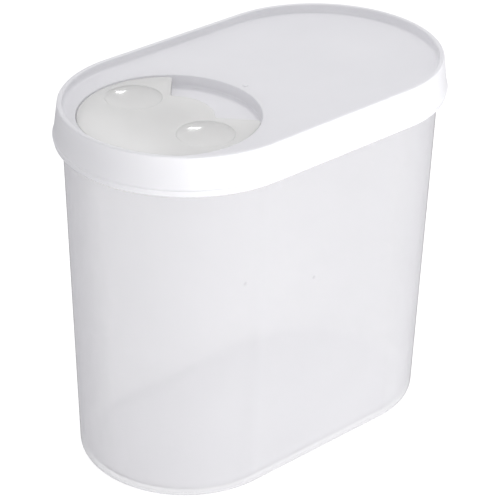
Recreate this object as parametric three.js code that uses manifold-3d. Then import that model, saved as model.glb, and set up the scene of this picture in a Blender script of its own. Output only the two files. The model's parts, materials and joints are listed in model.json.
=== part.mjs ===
// Cereal dispenser: a tall tub with round ends, a push-on lid, and a rotary shutter in the lid.
// Millimetres, +Z up. The origin is the centre of the tub's base and the pouring end is at -X.
import * as THREE from 'three';
import { mergeVertices } from 'three/addons/utils/BufferGeometryUtils.js';
import Module from 'manifold-3d';

const wasm = await Module();
wasm.setup();

// Overall size. Every outline of the tub and the lid is a stadium: two half circles round centres
// END_X either side of the middle, joined by straight sides. A "radius" is half the width there.
const HEIGHT = 172.4;
const LID_LENGTH = 189.6;
const LID_WIDTH = 110;
const LID_RADIUS = LID_WIDTH / 2;
const END_X = (LID_LENGTH - LID_WIDTH) / 2;
const GAP = 0.3;

// Lid
const RIM_WIDTH = 2.2;
const RIM_EDGE = 0.7;
const PANEL_DROP = 3.6;
const PANEL_THICK = 1.6;
const SKIRT_HEIGHT = 17.3;
const SKIRT_FLARE = 1.8;
const LIP_HEIGHT = 3.1;
const LIP_PROUD = 0.5;
const LIP_EDGE = 0.8;
const SKIRT_WALL = 1.5;

// Tub
const TUB_MOUTH_INSET = 2.0;
const TUB_TAPER = 4.6;
const TUB_WALL = 1.3;
const BEAD_HEIGHT = 3;
const BEAD_PROUD = 0.6;
const BASE_EDGE = 4.4;
const INNER_BASE_EDGE = 4;
const FLOOR_THICK = 1.6;
const FOOT_WIDTH = 5;
const FOOT_HEIGHT = 1;

// Shutter well in the lid
const WELL_X = -49.5;
const WELL_RADIUS = 39.6;
const WELL_DEPTH = 5.2;
const WELL_WALL = 1.3;
const WELL_FLOOR = 1.6;
const POUR_INNER = 20;
const POUR_OUTER = 37.8;
const POUR_HALF_ANGLE = THREE.MathUtils.degToRad(44);
const INDEX_RADIUS = 1.2;
const INDEX_HEIGHT = 0.4;
const INDEX_GAP = 4;

// Shutter disc
const DISC_CLEARANCE = 0.4;
const DISC_RADIUS = WELL_RADIUS - DISC_CLEARANCE;
const DISC_DROP = 0.6;
const DISC_THICK = 1.5;
const DISC_EDGE = 0.5;
const NOTCH_INNER = 19.5;
const NOTCH_HALF_ANGLE = THREE.MathUtils.degToRad(47.5);
const HOLLOW_OFFSET = 23.5;
const HOLLOW_RADIUS = 12.5;
const HOLLOW_DEPTH = 2.7;
const BOSS_RADIUS = 8;
const STUD_RADIUS = 4.4;
const BARB_PROUD = 1.2;
const BARB_HEIGHT = 2;
const STUD_SLOT = 1.4;

// Heights worked out from the sizes above
const PANEL_TOP = HEIGHT - PANEL_DROP;
const PANEL_UNDER = PANEL_TOP - PANEL_THICK;
const SKIRT_BOTTOM = HEIGHT - SKIRT_HEIGHT;
const TUB_TOP = PANEL_UNDER - GAP;
const WELL_TOP_OF_FLOOR = PANEL_TOP - WELL_DEPTH;
const WELL_UNDER_FLOOR = WELL_TOP_OF_FLOOR - WELL_FLOOR;
const DISC_TOP = PANEL_TOP - DISC_DROP;
const DISC_UNDER = DISC_TOP - DISC_THICK;
const DISC_BOTTOM = WELL_TOP_OF_FLOOR + DISC_CLEARANCE;

// Fineness
const STADIUM_SIDES = 72;
const DISC_SIDES = 72;
const HOLLOW_SIDES = 28;
const HOLLOW_STEPS = 6;
const STUD_SIDES = 24;
const EDGE_STEPS = 3;
const WELD = 1e-4;
const PAST = 2;

// The closed geometry as a solid: shared corners are merged and triangles of no area dropped.
function solidOf(geometry) {
  const bare = geometry.clone();
  bare.deleteAttribute('normal');
  bare.deleteAttribute('uv');
  const merged = mergeVertices(bare, WELD);
  const corners = merged.index.array;
  const kept = [];
  for (let i = 0; i < corners.length; i += 3) {
    const [a, b, c] = corners.slice(i, i + 3);
    if (a !== b && b !== c && c !== a) kept.push(a, b, c);
  }
  return new wasm.Manifold(new wasm.Mesh({
    numProp: 3,
    vertProperties: Float32Array.from(merged.attributes.position.array),
    triVerts: Uint32Array.from(kept),
  }));
}

// A lathe of [radius, height] points, which start and end on the axis, standing on +Z. Its facets
// touch the true circle from outside, so that the width over two facets is exact.
function latheGeometry(profile, sides) {
  const outward = 1 / Math.cos(Math.PI / sides);
  const points = profile.map(([radius, height]) => new THREE.Vector2(radius * outward, height));
  return new THREE.LatheGeometry(points, sides, Math.PI / sides).rotateX(Math.PI / 2);
}

function latheSolid(profile, sides, x = 0, y = 0) {
  return solidOf(latheGeometry(profile, sides).translate(x, y, 0));
}

// The same lathe with its two halves moved apart to the end centres, which stretches the facets
// that face +Y and -Y into the straight sides.
function stadiumSolid(profile) {
  const geometry = latheGeometry(profile, STADIUM_SIDES);
  const position = geometry.attributes.position;
  for (let column = 0; column <= STADIUM_SIDES; column++) {
    const half = Math.sign(Math.sin((2 * column + 1) * Math.PI / STADIUM_SIDES));
    for (let row = 0; row < profile.length; row++) {
      const corner = column * profile.length + row;
      position.setX(corner, position.getX(corner) + half * END_X);
    }
  }
  return solidOf(geometry);
}

// Points of a round from angle `from` to `to`, both included.
function arc(centreR, centreZ, radius, from, to, steps = EDGE_STEPS) {
  const points = [];
  for (let i = 0; i <= steps; i++) {
    const angle = THREE.MathUtils.degToRad(from + (to - from) * i / steps);
    points.push([centreR + radius * Math.cos(angle), centreZ + radius * Math.sin(angle)]);
  }
  return points;
}

function cylinderSolid(radius, bottom, top, sides, x = 0, y = 0) {
  return latheSolid([[0, bottom], [radius, bottom], [radius, top], [0, top]], sides, x, y);
}

// An upright slab in the shape of an annular sector round the well's centre.
function sectorSolid(inner, outer, middle, halfAngle, bottom, top) {
  const shape = new THREE.Shape();
  shape.absarc(0, 0, outer, middle - halfAngle, middle + halfAngle, false);
  shape.absarc(0, 0, inner, middle + halfAngle, middle - halfAngle, true);
  const slab = new THREE.ExtrudeGeometry(shape, {
    depth: top - bottom, bevelEnabled: false, curveSegments: 20,
  });
  return solidOf(slab.translate(WELL_X, 0, bottom));
}

// Half the tub's outer width at height z: the wall leans out evenly from the base to the skirt.
function tubRadius(z) {
  const mouth = LID_RADIUS - TUB_MOUTH_INSET;
  const slope = TUB_TAPER / (SKIRT_BOTTOM - BASE_EDGE);
  return mouth - (SKIRT_BOTTOM - z) * slope;
}

function makeTub() {
  const baseRadius = tubRadius(BASE_EDGE) - BASE_EDGE;
  const footInner = baseRadius - FOOT_WIDTH;
  const floorTop = FOOT_HEIGHT + FLOOR_THICK;
  const innerBase = tubRadius(floorTop + INNER_BASE_EDGE) - TUB_WALL - INNER_BASE_EDGE;
  const beadBottom = TUB_TOP - BEAD_HEIGHT;
  const beadRadius = tubRadius(TUB_TOP) + BEAD_PROUD;
  return stadiumSolid([
    [0, FOOT_HEIGHT],
    [footInner, FOOT_HEIGHT],
    [footInner + FOOT_HEIGHT, 0],
    ...arc(baseRadius, BASE_EDGE, BASE_EDGE, -90, 0, 4),
    [tubRadius(beadBottom), beadBottom],
    [beadRadius, beadBottom + BEAD_PROUD],
    [beadRadius, TUB_TOP - BEAD_PROUD],
    [beadRadius - BEAD_PROUD / 2, TUB_TOP],
    [tubRadius(TUB_TOP) - TUB_WALL, TUB_TOP],
    ...arc(innerBase, floorTop + INNER_BASE_EDGE, INNER_BASE_EDGE, 0, -90),
    [0, floorTop],
  ]);
}

// The lid without its well: panel, raised rim, and skirt with its lip.
function makeLidShell() {
  const grip = tubRadius(TUB_TOP) + BEAD_PROUD + GAP;
  const lipTop = SKIRT_BOTTOM + LIP_HEIGHT;
  const skirtFoot = LID_RADIUS + SKIRT_FLARE;
  const lipRadius = skirtFoot + LIP_PROUD;
  const rimInner = LID_RADIUS - RIM_WIDTH;
  return stadiumSolid([
    [0, PANEL_UNDER],
    [grip, PANEL_UNDER],
    [grip, TUB_TOP - BEAD_HEIGHT],
    [lipRadius - SKIRT_WALL, SKIRT_BOTTOM],
    ...arc(lipRadius - LIP_EDGE, SKIRT_BOTTOM + LIP_EDGE, LIP_EDGE, -90, 0),
    [lipRadius, lipTop - LIP_PROUD / 2],
    [skirtFoot, lipTop],
    ...arc(LID_RADIUS - RIM_EDGE, HEIGHT - RIM_EDGE, RIM_EDGE, 0, 90),
    ...arc(rimInner + RIM_EDGE, HEIGHT - RIM_EDGE, RIM_EDGE, 90, 180),
    [rimInner, PANEL_TOP],
    [0, PANEL_TOP],
  ]);
}

function makeLid() {
  const wellOuter = WELL_RADIUS + WELL_WALL;
  const cup = cylinderSolid(wellOuter, WELL_UNDER_FLOOR, PANEL_TOP - GAP, DISC_SIDES, WELL_X);
  const pocket = cylinderSolid(WELL_RADIUS, WELL_TOP_OF_FLOOR, HEIGHT + PAST, DISC_SIDES, WELL_X);
  const pour = sectorSolid(POUR_INNER, POUR_OUTER, Math.PI, POUR_HALF_ANGLE,
    WELL_UNDER_FLOOR - PAST, WELL_TOP_OF_FLOOR + PAST);
  const studHole = cylinderSolid(STUD_RADIUS + DISC_CLEARANCE, WELL_UNDER_FLOOR - PAST,
    WELL_TOP_OF_FLOOR + PAST, STUD_SIDES, WELL_X);
  const index = cylinderSolid(INDEX_RADIUS, PANEL_UNDER + GAP, PANEL_TOP + INDEX_HEIGHT,
    STUD_SIDES, WELL_X + WELL_RADIUS + INDEX_GAP);
  return makeLidShell().add(cup).subtract(pocket).subtract(pour).subtract(studHole).add(index);
}

// A bowl of half-elliptical section below the disc's top: `wall` thickens it into its own shell.
function bowlSolid(side, wall, top) {
  const width = HOLLOW_RADIUS + wall;
  const bowl = arc(0, 0, 1, -90, 0, HOLLOW_STEPS)
    .map(([across, down]) => [across * width, DISC_TOP + down * (HOLLOW_DEPTH + wall)])
    .filter(([, z]) => z < top);
  return latheSolid([...bowl, [width, top], [0, top]], HOLLOW_SIDES, WELL_X, side * HOLLOW_OFFSET);
}

// The stud drops through the lid's floor; its barb springs out below, across a sawn slot.
function makeStud() {
  const barbTop = WELL_UNDER_FLOOR - DISC_CLEARANCE;
  const barbBottom = barbTop - BARB_HEIGHT;
  const stud = latheSolid([
    [0, barbBottom],
    [STUD_RADIUS - BARB_PROUD, barbBottom],
    [STUD_RADIUS + BARB_PROUD, barbTop - BARB_HEIGHT / 3],
    [STUD_RADIUS + BARB_PROUD, barbTop],
    [STUD_RADIUS, barbTop],
    [STUD_RADIUS, DISC_BOTTOM],
    [BOSS_RADIUS, DISC_BOTTOM],
    [BOSS_RADIUS, DISC_TOP - DISC_THICK / 2],
    [0, DISC_TOP - DISC_THICK / 2],
  ], STUD_SIDES, WELL_X);
  const slotHeight = DISC_BOTTOM - barbBottom + PAST;
  const slot = new THREE.BoxGeometry(2 * BOSS_RADIUS, STUD_SLOT, slotHeight)
    .translate(WELL_X, 0, barbBottom - PAST + slotHeight / 2);
  return stud.subtract(solidOf(slot));
}

function makeDisc() {
  const skirtInner = DISC_RADIUS - DISC_THICK;
  const cap = latheSolid([
    [0, DISC_UNDER],
    [skirtInner, DISC_UNDER],
    [skirtInner, DISC_BOTTOM],
    [DISC_RADIUS, DISC_BOTTOM],
    [DISC_RADIUS, DISC_TOP - DISC_EDGE],
    [DISC_RADIUS - DISC_EDGE, DISC_TOP],
    [0, DISC_TOP],
  ], DISC_SIDES, WELL_X);
  const wallAngle = NOTCH_HALF_ANGLE + DISC_THICK / NOTCH_INNER;
  const notchWall = sectorSolid(NOTCH_INNER - DISC_THICK, DISC_RADIUS - DISC_EDGE, 0, wallAngle,
    DISC_BOTTOM, DISC_TOP - DISC_THICK / 2);
  const notch = sectorSolid(NOTCH_INNER, DISC_RADIUS + PAST, 0, NOTCH_HALF_ANGLE,
    DISC_BOTTOM - PAST, DISC_TOP + PAST);
  let disc = cap.add(notchWall).add(makeStud()).subtract(notch);
  for (const side of [-1, 1]) {
    disc = disc.add(bowlSolid(side, DISC_THICK, DISC_TOP - DISC_THICK / 2));
    disc = disc.subtract(bowlSolid(side, 0, DISC_TOP + PAST));
  }
  return disc;
}

function meshOf(name, solid, color, roughness) {
  const { vertProperties, triVerts } = solid.getMesh();
  const geometry = new THREE.BufferGeometry();
  geometry.setAttribute('position', new THREE.BufferAttribute(vertProperties, 3));
  geometry.setIndex(new THREE.BufferAttribute(triVerts, 1));
  geometry.computeVertexNormals();
  const material = new THREE.MeshStandardMaterial({ color, roughness, metalness: 0 });
  const mesh = new THREE.Mesh(geometry, material);
  mesh.name = name;
  return mesh;
}

const group = new THREE.Group();
group.add(
  meshOf('tub', makeTub(), 0xe6e8ea, 0.38),
  meshOf('lid', makeLid(), 0xf1f1f4, 0.42),
  meshOf('shutter_disc', makeDisc(), 0xe2e4e0, 0.2),
);

export default group;
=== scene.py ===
"""Cereal dispenser: the fine visual model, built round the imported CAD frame.

Metres, +Z up. The tub stands on z = 0 round the origin, and the pouring end is at -X.
Every piece is one closed mesh, made of rings of points joined by quads and closed by flat fills.
"""
import json
import math

import bpy
from mathutils import Matrix, Vector
from mathutils.geometry import tessellate_polygon


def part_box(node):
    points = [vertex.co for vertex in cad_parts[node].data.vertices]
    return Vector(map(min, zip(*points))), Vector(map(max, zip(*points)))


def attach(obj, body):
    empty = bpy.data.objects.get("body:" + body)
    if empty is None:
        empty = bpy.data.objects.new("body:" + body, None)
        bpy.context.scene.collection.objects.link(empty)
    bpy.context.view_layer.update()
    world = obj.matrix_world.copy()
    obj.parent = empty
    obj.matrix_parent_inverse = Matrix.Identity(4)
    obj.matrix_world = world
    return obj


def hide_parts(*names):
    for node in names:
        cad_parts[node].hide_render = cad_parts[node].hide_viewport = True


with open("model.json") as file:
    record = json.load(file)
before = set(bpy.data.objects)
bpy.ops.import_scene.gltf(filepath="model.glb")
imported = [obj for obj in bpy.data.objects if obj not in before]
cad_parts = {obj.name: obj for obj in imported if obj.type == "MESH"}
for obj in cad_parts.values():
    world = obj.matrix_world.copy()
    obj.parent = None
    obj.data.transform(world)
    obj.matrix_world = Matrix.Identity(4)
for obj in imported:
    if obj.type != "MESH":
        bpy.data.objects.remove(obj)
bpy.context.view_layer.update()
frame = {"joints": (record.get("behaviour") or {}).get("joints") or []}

MM = 0.001

# Sizes read from the frame
LID_LOW, LID_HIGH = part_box("lid")
TUB_LOW, TUB_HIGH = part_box("tub")
DISC_LOW, DISC_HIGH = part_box("shutter_disc")
TURN = next(joint for joint in frame["joints"] if joint["name"] == "shutter_turn")
WELL_X = TURN["pos_m"][0]

HEIGHT = LID_HIGH.z
SKIRT_BOTTOM = LID_LOW.z
LIP_RADIUS = LID_HIGH.y
END_X = LID_HIGH.x - LIP_RADIUS
TUB_TOP = TUB_HIGH.z
BEAD_RADIUS = TUB_HIGH.y
DISC_RADIUS = WELL_X - DISC_LOW.x
DISC_TOP = DISC_HIGH.z
BARB_BOTTOM = DISC_LOW.z

# Lid
LIP_PROUD = 0.5 * MM
LIP_ROLL = 0.7 * MM
SKIRT_FOOT = LIP_RADIUS - LIP_PROUD
LID_RADIUS = SKIRT_FOOT - 1.8 * MM
RIM_WIDTH = 2.2 * MM
PANEL_TOP = HEIGHT - 3.6 * MM
PANEL_UNDER = PANEL_TOP - 1.6 * MM
LIP_TOP = SKIRT_BOTTOM + 3.1 * MM
SKIRT_WALL = 1.5 * MM
LID_GRIP = BEAD_RADIUS + 0.3 * MM

# Tub
BEAD_PROUD = 0.6 * MM
BEAD_BOTTOM = TUB_TOP - 3 * MM
TUB_WALL = 1.3 * MM
MOUTH_RADIUS = BEAD_RADIUS - BEAD_PROUD
TUB_SLOPE = 4.6 / 150.7
BASE_EDGE = 4.4 * MM
FOOT_WIDTH = 5 * MM
FOOT_HEIGHT = 1 * MM
FLOOR_TOP = 2.6 * MM
GATE_INNER = 2.2 * MM
GATE_OUTER = 2.4 * MM
GATE_DEPTH = 0.3 * MM

# Well in the lid
WELL_RADIUS = DISC_RADIUS + 0.4 * MM
WELL_OUTER = WELL_RADIUS + 1.3 * MM
WELL_FLOOR = PANEL_TOP - 5.2 * MM
WELL_UNDER = WELL_FLOOR - 1.6 * MM
POUR_INNER = 20 * MM
POUR_OUTER = 37.8 * MM
POUR_HALF_ANGLE = math.radians(44)
POUR_CORNER = 3 * MM
INDEX_X = WELL_X + WELL_RADIUS + 4 * MM
INDEX_RADIUS = 1.2 * MM
INDEX_HEIGHT = 0.4 * MM
PIVOT_RADIUS = 4.8 * MM

# Shutter disc
DISC_THICK = 1.5 * MM
DISC_UNDER = DISC_TOP - DISC_THICK
DISC_BOTTOM = WELL_FLOOR + 0.4 * MM
NOTCH_INNER = 19.5 * MM
NOTCH_HALF_ANGLE = math.radians(47.5)
NOTCH_OUTER_CORNER = 2 * MM
NOTCH_INNER_CORNER = 1.5 * MM
HOLLOW_OFFSET = 23.5 * MM
HOLLOW_RADIUS = 12.5 * MM
HOLLOW_DEPTH = 2.7 * MM
HOLLOW_WALL = 1.3 * MM
BOWL_EDGE, BOWL_TIP = 8, 84  # degrees round a hollow's section, where its curve starts and stops
BOSS_RADIUS = 8 * MM
STUD_RADIUS = 4.4 * MM
BARB_PROUD = 1.2 * MM
BARB_TOP = WELL_UNDER - 0.4 * MM
SLOT_HALF = 0.7 * MM

# Fineness: the number of steps along each kind of arc
END_STEPS = 64
CIRCLE_STEPS = 128
RIM_STEPS = 110
HOLLOW_STEPS = 72
SMALL_STEPS = 48
POUR_FAR_STEPS = 48
POUR_NEAR_STEPS = 24
NOTCH_STEPS = 32
BOWL_STEPS = 14
CORNER_STEPS = 10
FILLET_STEPS = 5
TUB_FILLET_STEPS = 8
HOLD = 0.2 * MM
ROUNDING = 1e-7


# ---------------------------------------------------------------- outlines
def polar(radius, angle):
    return Vector((radius * math.cos(angle), radius * math.sin(angle)))


def sweep_arc(centre, radius, start, end, steps):
    """Points on an arc round centre, from angle start to end, both included."""
    return [centre + polar(radius, start + (end - start) * i / steps) for i in range(steps + 1)]


def stadium(radius):
    """The points `radius` away from the segment between the two end centres, anticlockwise."""
    right = sweep_arc(Vector((END_X, 0)), radius, -math.pi / 2, math.pi / 2, END_STEPS)
    return right + [-point for point in right]


def circle(x, y, steps):
    """A function of radius that gives a circle round (x, y), anticlockwise."""
    def outline(radius):
        return sweep_arc(Vector((x, y)), radius, 0, 2 * math.pi, steps)[:-1]
    return outline


def pour_outline(grow):
    """The pour opening, a rounded annular sector on the -X side of the well, made larger by `grow`."""
    r = POUR_CORNER
    far, near = POUR_OUTER - r, POUR_INNER + r
    far_angle = POUR_HALF_ANGLE - math.asin(r / far)
    near_angle = POUR_HALF_ANGLE - math.asin(r / near)
    quarter = math.pi / 2
    centre = Vector((0, 0))
    points = sweep_arc(centre, POUR_OUTER + grow, -far_angle, far_angle, POUR_FAR_STEPS)
    points += sweep_arc(polar(far, far_angle), r + grow, far_angle, POUR_HALF_ANGLE + quarter,
                        CORNER_STEPS)[1:]
    points += sweep_arc(polar(near, near_angle), r + grow, POUR_HALF_ANGLE + quarter,
                        near_angle + math.pi, CORNER_STEPS)
    points += sweep_arc(centre, POUR_INNER - grow, near_angle, -near_angle, POUR_NEAR_STEPS)[1:]
    points += sweep_arc(polar(near, -near_angle), r + grow, -near_angle - math.pi,
                        -POUR_HALF_ANGLE - quarter, CORNER_STEPS)[1:]
    points += sweep_arc(polar(far, -far_angle), r + grow, -POUR_HALF_ANGLE - quarter, -far_angle,
                        CORNER_STEPS)[:-1]
    return [Vector((WELL_X, 0)) - point for point in points]


def disc_outline(grow):
    """The shutter's edge with its notch towards +X, made larger by `grow`, anticlockwise."""
    outer, inner = NOTCH_OUTER_CORNER, NOTCH_INNER_CORNER
    rim, hub = DISC_RADIUS - outer, NOTCH_INNER + inner
    rim_angle = NOTCH_HALF_ANGLE + math.asin(outer / rim)
    hub_angle = NOTCH_HALF_ANGLE - math.asin(inner / hub)
    quarter, turn = math.pi / 2, 2 * math.pi
    centre = Vector((0, 0))
    points = sweep_arc(polar(rim, rim_angle), outer + grow, NOTCH_HALF_ANGLE - quarter, rim_angle,
                       CORNER_STEPS)
    points += sweep_arc(centre, DISC_RADIUS + grow, rim_angle, turn - rim_angle, RIM_STEPS)[1:]
    points += sweep_arc(polar(rim, -rim_angle), outer + grow, -rim_angle,
                        quarter - NOTCH_HALF_ANGLE, CORNER_STEPS)[1:]
    points += sweep_arc(polar(hub, -hub_angle), inner - grow, -NOTCH_HALF_ANGLE - quarter,
                        -hub_angle - math.pi, CORNER_STEPS)
    points += sweep_arc(centre, NOTCH_INNER + grow, -hub_angle, hub_angle, NOTCH_STEPS)[1:]
    points += sweep_arc(polar(hub, hub_angle), inner - grow, hub_angle + math.pi,
                        NOTCH_HALF_ANGLE + quarter, CORNER_STEPS)[1:]
    return [Vector((WELL_X, 0)) + point for point in points]


def prong_outline(side):
    """A function of radius that gives half of the split stud, a round cut flat along the slot."""
    def outline(radius):
        flat = math.asin(SLOT_HALF / radius)
        half = sweep_arc(Vector((0, 0)), radius, flat, math.pi - flat, SMALL_STEPS // 2)
        return [Vector((WELL_X, 0)) + side * point for point in half]
    return outline


# ---------------------------------------------------------------- profiles
def filleted(corners, steps=FILLET_STEPS):
    """A profile of (offset, height, fillet radius) corners as (offset, height) points.

    Each fillet is an arc. Where a flat is long enough, a point is held on it just off each arc. The
    first and last corners aren't rounded: they lie on the flats that fills or other sweeps continue.
    """
    places = [Vector(corner[:2]) for corner in corners]
    tangents = [fillet_tangent(places, i, corners[i][2]) for i in range(len(corners))]
    points = []
    for i, here in enumerate(places):
        if tangents[i] == 0:
            points.append(here)
            continue
        before = (places[i - 1] - here).normalized()
        after = (places[i + 1] - here).normalized()
        middle = (before + after).normalized()
        centre = here + middle * math.hypot(tangents[i], corners[i][2])
        first, last = here + before * tangents[i] - centre, here + after * tangents[i] - centre
        swing = first.angle_signed(last)
        points += held(centre + first, before, places, tangents, i, i - 1)
        for step in range(steps + 1):
            turned = first.copy()
            turned.rotate(Matrix.Rotation(-swing * step / steps, 2))
            points.append(centre + turned)
        points += held(centre + last, after, places, tangents, i, i + 1)
    return [(point.x, point.y) for point in points]


def fillet_tangent(places, i, radius):
    """How far a fillet reaches along the flats from corner i."""
    if radius == 0:
        return 0
    before, after = places[i - 1] - places[i], places[i + 1] - places[i]
    return radius / math.tan(before.angle(after) / 2)


def held(start, way, places, tangents, i, j):
    """One point on the flat from corner i to corner j, or none where the flat is too short."""
    free = (places[j] - places[i]).length - tangents[i] - tangents[j]
    if free < -ROUNDING:
        raise ValueError("the fillets at %s and %s overlap" % (places[i], places[j]))
    return [start + way * HOLD] if free > 2.5 * HOLD else []


def bowl_points(radius, depth, start, end):
    """Points along the half-elliptical section of a finger hollow, from angle start to end. Angles
    are in degrees, 0 at its edge and 90 at its bottom."""
    points = []
    for i in range(BOWL_STEPS + 1):
        angle = math.radians(start + (end - start) * i / BOWL_STEPS)
        points.append((radius * math.cos(angle), DISC_TOP - depth * math.sin(angle)))
    return points


# ---------------------------------------------------------------- meshes
class Shell:
    """A closed mesh. Rings run anticlockwise, and the surface faces right of the way it is swept:
    down as the rings grow, out as they rise, up as they shrink and in as they sink."""

    def __init__(self):
        self.points, self.faces = [], []

    def sweep(self, outline, profile):
        """Rings of outline(offset) at each (offset, height), joined in turn. Gives the end rings."""
        rings = []
        for offset, height in profile:
            first = len(self.points)
            self.points += [(x, y, height) for x, y in outline(offset)]
            rings.append(range(first, len(self.points)))
        for low, high in zip(rings, rings[1:]):
            for i, a in enumerate(low):
                j = (i + 1) % len(low)
                self.faces.append((a, low[j], high[j], high[i]))
        return rings[0], rings[-1]

    def fill(self, outer, *holes, up):
        """Flat triangles between an outer ring and the rings of its holes."""
        loops = [outer, *holes]
        numbers = [n for loop in loops for n in loop]
        outlines = [[Vector((*self.points[n][:2], 0)) for n in loop] for loop in loops]
        for corners in tessellate_polygon(outlines):
            a, b, c = (Vector(self.points[numbers[i]][:2]) for i in corners)
            anticlockwise = (b - a).cross(c - a) > 0
            face = [numbers[i] for i in corners]
            self.faces.append(face if anticlockwise == up else face[::-1])

    def piece(self, name, node, body, material):
        """The mesh as a smooth-shaded piece that stands for a CAD node and rides on its body."""
        mesh = bpy.data.meshes.new(name)
        mesh.from_pydata(self.points, [], self.faces)
        mesh.polygons.foreach_set("use_smooth", [True] * len(mesh.polygons))
        mesh.materials.append(material)
        mesh.update()
        obj = bpy.data.objects.new(name, mesh)
        bpy.context.scene.collection.objects.link(obj)
        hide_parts(node)
        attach(obj, body)
        return obj


def tub_radius(z):
    """The tub's outer radius at height z. Its wall leans out towards the mouth."""
    return MOUTH_RADIUS - (TUB_TOP - z) * TUB_SLOPE


def make_tub(material):
    """The tub: foot ring, wall, rim bead and floor, and the gate mark under the floor."""
    foot_inner = tub_radius(BASE_EDGE) - BASE_EDGE - FOOT_WIDTH
    inner_floor = tub_radius(FLOOR_TOP) - TUB_WALL
    shell = Shell()
    under, inside = shell.sweep(stadium, filleted([
        (foot_inner - 4 * MM, FOOT_HEIGHT, 0),
        (foot_inner, FOOT_HEIGHT, 0.4 * MM),
        (foot_inner + FOOT_HEIGHT, 0, 0.4 * MM),
        (tub_radius(0), 0, BASE_EDGE * 0.9),
        (tub_radius(BEAD_BOTTOM), BEAD_BOTTOM, 0.5 * MM),
        (BEAD_RADIUS, BEAD_BOTTOM + BEAD_PROUD, 0.3 * MM),
        (BEAD_RADIUS, TUB_TOP, 0.7 * MM),
        (MOUTH_RADIUS - TUB_WALL, TUB_TOP, 0.5 * MM),
        (inner_floor, FLOOR_TOP, 4 * MM),
        (inner_floor - 8 * MM, FLOOR_TOP, 0),
    ], steps=TUB_FILLET_STEPS))
    gate_tip, gate_root = shell.sweep(circle(0, 0, SMALL_STEPS), filleted([
        (GATE_INNER - 1.0 * MM, FOOT_HEIGHT - GATE_DEPTH, 0),
        (GATE_INNER, FOOT_HEIGHT - GATE_DEPTH, 0.1 * MM),
        (GATE_OUTER, FOOT_HEIGHT, 0.1 * MM),
        (GATE_OUTER + 0.8 * MM, FOOT_HEIGHT, 0),
    ]))
    shell.fill(gate_tip, up=False)
    shell.fill(under, gate_root, up=False)
    shell.fill(inside, up=True)
    return shell.piece("tub_body", "tub", "tub", material)


def make_lid(material):
    """The lid: skirt and lip, rim, panel and index dot, and the well with its two openings."""
    shell = Shell()
    under, panel = shell.sweep(stadium, filleted([
        (LID_GRIP - 1.2 * MM, PANEL_UNDER, 0),
        (LID_GRIP, PANEL_UNDER, 0.5 * MM),
        (LID_GRIP, BEAD_BOTTOM, 1.5 * MM),
        (LIP_RADIUS - SKIRT_WALL, SKIRT_BOTTOM, 0.3 * MM),
        (LIP_RADIUS - LIP_ROLL, SKIRT_BOTTOM, 0.4 * MM),
        (LIP_RADIUS, LIP_TOP - 0.3 * MM, 0.25 * MM),
        (SKIRT_FOOT, LIP_TOP + 0.2 * MM, 0.25 * MM),
        (LID_RADIUS, HEIGHT, 0.7 * MM),
        (LID_RADIUS - RIM_WIDTH, HEIGHT, 0.7 * MM),
        (LID_RADIUS - RIM_WIDTH, PANEL_TOP, 1.6 * MM),
        (LID_RADIUS - RIM_WIDTH - 2.6 * MM, PANEL_TOP, 0),
    ]))
    round_well = circle(WELL_X, 0, CIRCLE_STEPS)
    well_edge, floor = shell.sweep(round_well, filleted([
        (WELL_RADIUS + 1.0 * MM, PANEL_TOP, 0),
        (WELL_RADIUS, PANEL_TOP, 0.5 * MM),
        (WELL_RADIUS, WELL_FLOOR, 0.8 * MM),
        (WELL_RADIUS - 1.4 * MM, WELL_FLOOR, 0),
    ]))
    floor_under, well_root = shell.sweep(round_well, filleted([
        (WELL_OUTER - 1.6 * MM, WELL_UNDER, 0),
        (WELL_OUTER, WELL_UNDER, 0.8 * MM),
        (WELL_OUTER, PANEL_UNDER, 0.5 * MM),
        (WELL_OUTER + 1.0 * MM, PANEL_UNDER, 0),
    ]))
    # Zero growth is the opening's own edge, and the flats round it are swept as positive growth.
    pour_top, pour_under = shell.sweep(pour_outline, filleted([
        (1.0 * MM, WELL_FLOOR, 0),
        (0, WELL_FLOOR, 0.5 * MM),
        (0, WELL_UNDER, 0.5 * MM),
        (1.0 * MM, WELL_UNDER, 0),
    ]))
    hole_top, hole_under = shell.sweep(circle(WELL_X, 0, SMALL_STEPS), filleted([
        (PIVOT_RADIUS + 0.8 * MM, WELL_FLOOR, 0),
        (PIVOT_RADIUS, WELL_FLOOR, 0.4 * MM),
        (PIVOT_RADIUS, WELL_UNDER, 0.4 * MM),
        (PIVOT_RADIUS + 0.8 * MM, WELL_UNDER, 0),
    ]))
    index_foot, index_top = shell.sweep(circle(INDEX_X, 0, SMALL_STEPS), filleted([
        (INDEX_RADIUS + 0.5 * MM, PANEL_TOP, 0),
        (INDEX_RADIUS, PANEL_TOP, 0.1 * MM),
        (INDEX_RADIUS, PANEL_TOP + INDEX_HEIGHT, 0.2 * MM),
        (INDEX_RADIUS - 0.6 * MM, PANEL_TOP + INDEX_HEIGHT, 0),
    ]))
    shell.fill(index_top, up=True)
    shell.fill(panel, well_edge, index_foot, up=True)
    shell.fill(floor, pour_top, hole_top, up=True)
    shell.fill(floor_under, pour_under, hole_under, up=False)
    shell.fill(under, well_root, up=False)
    return shell.piece("lid_body", "lid", "lid", material)


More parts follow.
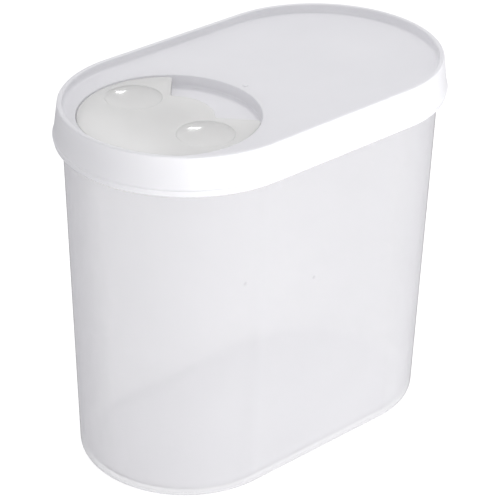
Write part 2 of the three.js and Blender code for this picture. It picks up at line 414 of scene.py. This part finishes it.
def add_hollow(shell, side):
    """One finger hollow. Gives its rings on the shutter's top face and on its ceiling below."""
    outline = circle(WELL_X, side * HOLLOW_OFFSET, HOLLOW_STEPS)
    inner = bowl_points(HOLLOW_RADIUS, HOLLOW_DEPTH, BOWL_EDGE, BOWL_TIP)
    lip = filleted([
        (HOLLOW_RADIUS + 0.9 * MM, DISC_TOP, 0),
        (HOLLOW_RADIUS, DISC_TOP, 0.35 * MM),
        (*inner[0], 0),
    ])
    edge, bottom = shell.sweep(outline, lip + inner[1:])
    ceiling = math.degrees(math.asin(DISC_THICK / (HOLLOW_DEPTH + HOLLOW_WALL)))
    outer = bowl_points(HOLLOW_RADIUS + HOLLOW_WALL, HOLLOW_DEPTH + HOLLOW_WALL, BOWL_TIP, ceiling)
    tip, root = shell.sweep(outline, outer)
    shell.fill(bottom, up=True)
    shell.fill(tip, up=False)
    return edge, root


def add_prong(shell, side):
    """Half of the split snap stud. Gives its ring on the boss."""
    barb = STUD_RADIUS + BARB_PROUD
    tip, root = shell.sweep(prong_outline(side), filleted([
        (STUD_RADIUS - BARB_PROUD - 1.0 * MM, BARB_BOTTOM, 0),
        (STUD_RADIUS - BARB_PROUD, BARB_BOTTOM, 0.3 * MM),
        (barb, BARB_TOP - 0.7 * MM, 0.2 * MM),
        (barb, BARB_TOP, 0.2 * MM),
        (STUD_RADIUS, BARB_TOP, 0.2 * MM),
        (STUD_RADIUS, DISC_BOTTOM, 0.15 * MM),
        (STUD_RADIUS + 0.4 * MM, DISC_BOTTOM, 0),
    ]))
    shell.fill(tip, up=False)
    return root


def make_shutter(material):
    """The shutter: notched plate with its edge skirt, finger hollows, and the boss and its stud."""
    shell = Shell()
    ceiling, top = shell.sweep(disc_outline, filleted([
        (-DISC_THICK - 0.45 * MM, DISC_UNDER, 0),
        (-DISC_THICK, DISC_UNDER, 0.2 * MM),
        (-DISC_THICK, DISC_BOTTOM, 0.4 * MM),
        (0, DISC_BOTTOM, 0.4 * MM),
        (0, DISC_TOP, 0.5 * MM),
        (-1.0 * MM, DISC_TOP, 0),
    ]))
    boss_under, boss_root = shell.sweep(circle(WELL_X, 0, SMALL_STEPS), filleted([
        (BOSS_RADIUS - 1.0 * MM, DISC_BOTTOM, 0),
        (BOSS_RADIUS, DISC_BOTTOM, 0.4 * MM),
        (BOSS_RADIUS, DISC_UNDER, 0.4 * MM),
        (BOSS_RADIUS + 0.8 * MM, DISC_UNDER, 0),
    ]))
    hollows = [add_hollow(shell, side) for side in (-1, 1)]
    prongs = [add_prong(shell, side) for side in (-1, 1)]
    shell.fill(top, *[edge for edge, _ in hollows], up=True)
    shell.fill(ceiling, boss_root, *[root for _, root in hollows], up=False)
    shell.fill(boss_under, *prongs, up=False)
    return shell.piece("shutter", "shutter_disc", "shutter", material)


# ---------------------------------------------------------------- materials
class Nodes:
    """The node tree of a material or a world, with short ways to add and link nodes."""

    def __init__(self, owner):
        self.owner = owner
        owner.use_nodes = True
        self.tree = owner.node_tree
        self.tree.nodes.clear()

    def add(self, kind, inputs=None, **settings):
        node = self.tree.nodes.new(kind)
        for key, value in settings.items():
            setattr(node, key, value)
        for key, value in (inputs or {}).items():
            if isinstance(value, bpy.types.NodeSocket):
                self.tree.links.new(value, node.inputs[key])
            else:
                node.inputs[key].default_value = value
        return node

    def place(self):
        """The place on the object, in metres."""
        return self.add("ShaderNodeTexCoord").outputs["Object"]

    def noise(self, scale, detail):
        return self.add("ShaderNodeTexNoise", {
            "Vector": self.place(), "Scale": scale, "Detail": detail}).outputs["Fac"]

    def ramp(self, factor, low, high):
        """factor from 0.35 to 0.65 spread between two colours."""
        node = self.add("ShaderNodeValToRGB", {"Fac": factor})
        first, last = node.color_ramp.elements
        first.position, last.position = 0.35, 0.65
        first.color, last.color = (*low, 1), (*high, 1)
        return node.outputs["Color"]

    def spread(self, factor, low, high):
        """factor from 0.3 to 0.7 spread between two numbers."""
        return self.add("ShaderNodeMapRange", {
            "Value": factor, "From Min": 0.3, "From Max": 0.7, "To Min": low, "To Max": high,
        }).outputs["Result"]

    def multiply(self, colour, factor):
        node = self.add("ShaderNodeMix", {0: 1.0, 6: colour, 7: factor},
                        data_type="RGBA", blend_type="MULTIPLY")
        return node.outputs[2]

    def bump(self, height, strength, distance, under=None):
        inputs = {"Height": height, "Strength": strength, "Distance": distance}
        if under is not None:
            inputs["Normal"] = under
        return self.add("ShaderNodeBump", inputs).outputs["Normal"]

    def mix(self, share, first, second):
        """A shader made of `share` of the second shader and the rest of the first."""
        return self.add("ShaderNodeMixShader", {0: share, 1: first, 2: second}).outputs["Shader"]

    def finish(self, surface, output="ShaderNodeOutputMaterial"):
        self.add(output, {"Surface": surface})
        return self.owner


def lid_plastic():
    """White polyethylene: satin, thin enough to let some light through, finely textured."""
    n = Nodes(bpy.data.materials.new("lid_plastic"))
    colour = n.ramp(n.noise(22, 3), (0.870, 0.868, 0.885), (0.890, 0.888, 0.903))
    waves = n.bump(n.noise(55, 2), 0.10, 0.0006)
    grain = n.bump(n.noise(2600, 3), 0.10, 0.00012, waves)
    skin = n.add("ShaderNodeBsdfPrincipled", {
        "Base Color": colour,
        "Roughness": n.spread(n.noise(140, 4), 0.34, 0.44),
        "Normal": grain,
        "IOR": 1.5,
    })
    through = n.add("ShaderNodeBsdfTranslucent", {"Color": colour, "Normal": grain})
    return n.finish(n.mix(0.30, skin.outputs["BSDF"], through.outputs["BSDF"]))


def clouded(name, colour_low, colour_high, clear, milky, gloss, marks=()):
    """A clouded plastic wall. Seen face on, the share `clear` of the light goes straight through.
    Of the rest, the share `milky` is scattered on through, and what is left comes back."""
    n = Nodes(bpy.data.materials.new(name))
    colour = n.ramp(n.noise(18, 3), colour_low, colour_high)
    # Painted shade: the colour is darkened where the wall is seen edge on, so that its silhouettes
    # show as dark lines.
    facing = n.add("ShaderNodeLayerWeight", {"Blend": 0.5}).outputs["Facing"]
    edge = n.add("ShaderNodeMapRange", {
        "Value": facing, "From Min": 0.88, "From Max": 1.0, "To Min": 1.0, "To Max": 0.42})
    colour = n.multiply(colour, edge.outputs["Result"])
    for mark in marks:
        colour = mark(n, colour)
    face = n.add("ShaderNodeBsdfPrincipled", {
        "Base Color": colour,
        "Roughness": n.spread(n.noise(90, 4), gloss, gloss + 0.08),
        "Normal": n.bump(n.noise(26, 2), 0.05, 0.0012),
        "IOR": 1.49,
        "Coat Weight": 0.60,
        "Coat Roughness": 0.07,
    })
    through = n.add("ShaderNodeBsdfTranslucent", {"Color": colour})
    body = n.mix(milky, face.outputs["BSDF"], through.outputs["BSDF"])
    straight = n.add("ShaderNodeBsdfTransparent", {"Color": (0.975, 0.973, 0.976, 1)})
    share = n.add("ShaderNodeMapRange", {
        "Value": facing, "From Min": 0.3, "From Max": 1.05, "To Min": clear, "To Max": 0.02,
    }, interpolation_type="SMOOTHSTEP")
    return n.finish(n.mix(share.outputs["Result"], body, straight.outputs["BSDF"]))


def add_specks(n, colour):
    """A few tiny darker specks, as regrind leaves in natural polypropylene."""
    cells = n.add("ShaderNodeTexVoronoi", {"Vector": n.place(), "Scale": 28})
    dot = n.add("ShaderNodeMapRange", {
        "Value": cells.outputs["Distance"], "From Min": 0.012, "From Max": 0.03,
        "To Min": 0.72, "To Max": 1.0})
    return n.multiply(colour, dot.outputs["Result"])


def add_painted_floor_light_and_corner_shade(n, colour):
    """Painted light and shade by height on the tub: its thin floor is painted lighter, as if lit from
    below, and bands round the thicker rounded corner are painted slightly darker. These are shades by
    height, as shares of the lowest 12 mm."""
    height = n.add("ShaderNodeSeparateXYZ", {0: n.place()}).outputs["Z"]
    share = n.add("ShaderNodeMapRange", {"Value": height, "From Min": 0.0, "From Max": 12 * MM})
    ramp = n.add("ShaderNodeValToRGB", {"Fac": share.outputs["Result"]})
    stops = ramp.color_ramp.elements
    # Painted light: the floor is lifted to 1.18. Painted shade: the stops at 0.95 and 0.96 darken
    # bands round the corner.
    stops[0].position, stops[0].color = 0.21, (1.18, 1.18, 1.18, 1)
    stops[1].position, stops[1].color = 0.75, (1, 1, 1, 1)
    for position, shade in ((0.27, 0.95), (0.36, 1.0), (0.47, 0.96)):
        stops.new(position).color = (shade, shade, shade, 1)
    return n.multiply(colour, ramp.outputs["Color"])


def tub_plastic():
    # The specks are the plastic's own colour. The height shades are painted light on the floor and
    # painted shade round its corner.
    return clouded("tub_plastic", (0.800, 0.798, 0.814), (0.815, 0.813, 0.828),
                   clear=0.70, milky=0.5, gloss=0.30, marks=(add_specks, add_painted_floor_light_and_corner_shade))


def shutter_plastic():
    return clouded("shutter_plastic", (0.915, 0.915, 0.900), (0.935, 0.935, 0.920),
                   clear=0.28, milky=0.35, gloss=0.10)


# ---------------------------------------------------------------- stage
FLOOR_REACH = 8.0
FLOOR_DROP = 0.2 * MM
FLOOR_GLOW = 0.62
FLOOR_EXTRA_SEEN = 0.25
WORLD_LIGHT = 0.80
WORLD_SEEN = 1.05


def make_floor():
    """A plain pale floor just under the object. It glows, a little more where the camera sees it
    and not in reflections, so that it reads as a white sweep. From below it is clear, so that the
    underside can be looked at."""
    n = Nodes(bpy.data.materials.new("floor"))
    diffuse = n.add("ShaderNodeBsdfDiffuse", {"Color": (0.25, 0.25, 0.25, 1)})
    path = n.add("ShaderNodeLightPath").outputs
    seen = n.add("ShaderNodeMath", {0: path["Is Camera Ray"], 1: FLOOR_EXTRA_SEEN, 2: FLOOR_GLOW},
                 operation="MULTIPLY_ADD").outputs[0]
    strength = n.add("ShaderNodeMath", {0: path["Is Glossy Ray"], 1: -FLOOR_GLOW, 2: seen},
                     operation="MULTIPLY_ADD").outputs[0]
    glow = n.add("ShaderNodeEmission", {"Color": (1, 1, 1, 1), "Strength": strength})
    top = n.add("ShaderNodeAddShader", {0: diffuse.outputs["BSDF"], 1: glow.outputs["Emission"]})
    behind = n.add("ShaderNodeNewGeometry").outputs["Backfacing"]
    clear = n.add("ShaderNodeBsdfTransparent", {"Color": (1, 1, 1, 1)})
    mesh = bpy.data.meshes.new("floor")
    corners = [(x * FLOOR_REACH, y * FLOOR_REACH, 0) for x, y in ((-1, -1), (1, -1), (1, 1), (-1, 1))]
    mesh.from_pydata(corners, [], [(0, 1, 2, 3)])
    mesh.materials.append(n.finish(n.mix(behind, top.outputs["Shader"], clear.outputs["BSDF"])))
    floor = bpy.data.objects.new("floor", mesh)
    floor.location.z = -FLOOR_DROP
    bpy.context.scene.collection.objects.link(floor)


def area_light(name, place, target, width, height, power):
    data = bpy.data.lights.new(name, "AREA")
    data.shape = "RECTANGLE"
    data.size, data.size_y, data.energy = width, height, power
    light = bpy.data.objects.new(name, data)
    bpy.context.scene.collection.objects.link(light)
    light.location = place
    light.rotation_euler = (Vector(target) - Vector(place)).to_track_quat("-Z", "Y").to_euler()
    return light


def make_lights():
    """A low strip before the object, which shows only in what it lights, and a softbox above."""
    strip = area_light("strip", (0, -0.85, 0.07), (0, 0, 0.07), 1.0, 0.12, 6.4)
    strip.visible_camera = False
    area_light("softbox", (0.80, 0.50, 1.40), (0, 0, 0.1), 0.34, 0.24, 5.6)


def make_world():
    """A pale world, which lights the object softly and is white behind it, so that no horizon
    shows."""
    n = Nodes(bpy.data.worlds.new("studio"))
    seen = n.add("ShaderNodeLightPath").outputs["Is Camera Ray"]
    level = n.add("ShaderNodeMapRange", {
        "Value": seen, "To Min": WORLD_LIGHT, "To Max": WORLD_SEEN}).outputs["Result"]
    pale = n.add("ShaderNodeBackground", {"Color": (0.985, 0.982, 1.0, 1), "Strength": level})
    bpy.context.scene.world = n.finish(pale.outputs["Background"], "ShaderNodeOutputWorld")


def set_tones_and_bounces():
    """Plain tones, and many bounces, because light crosses many clouded surfaces in the walls."""
    scene = bpy.context.scene
    scene.view_settings.view_transform = "Standard"
    scene.cycles.max_bounces = 24
    scene.cycles.diffuse_bounces = 16
    scene.cycles.transmission_bounces = 16
    scene.cycles.transparent_max_bounces = 24


def make_camera():
    """A long lens that looks down on the object from beside its pouring end."""
    azimuth, elevation, roll = math.radians(-42.92), math.radians(28.85), math.radians(1.07)
    distance, aim = 1.0027, Vector((0, 0, 0.08873))
    back = Vector((math.sin(azimuth) * math.cos(elevation),
                   -math.cos(azimuth) * math.cos(elevation), math.sin(elevation)))
    data = bpy.data.cameras.new("camera")
    data.sensor_width = 36
    data.lens = 159.04
    data.shift_x = -0.0047
    data.shift_y = -0.0148
    data.clip_end = 50
    camera = bpy.data.objects.new("camera", data)
    bpy.context.scene.collection.objects.link(camera)
    level = back.to_track_quat("Z", "Y").to_matrix().to_4x4()
    camera.matrix_world = (Matrix.Translation(aim + distance * back) @ level
                           @ Matrix.Rotation(roll, 4, "Z"))
    bpy.context.scene.camera = camera


make_camera()
make_tub(tub_plastic())
make_lid(lid_plastic())
make_shutter(shutter_plastic())
make_floor()
make_lights()
make_world()
set_tones_and_bounces()
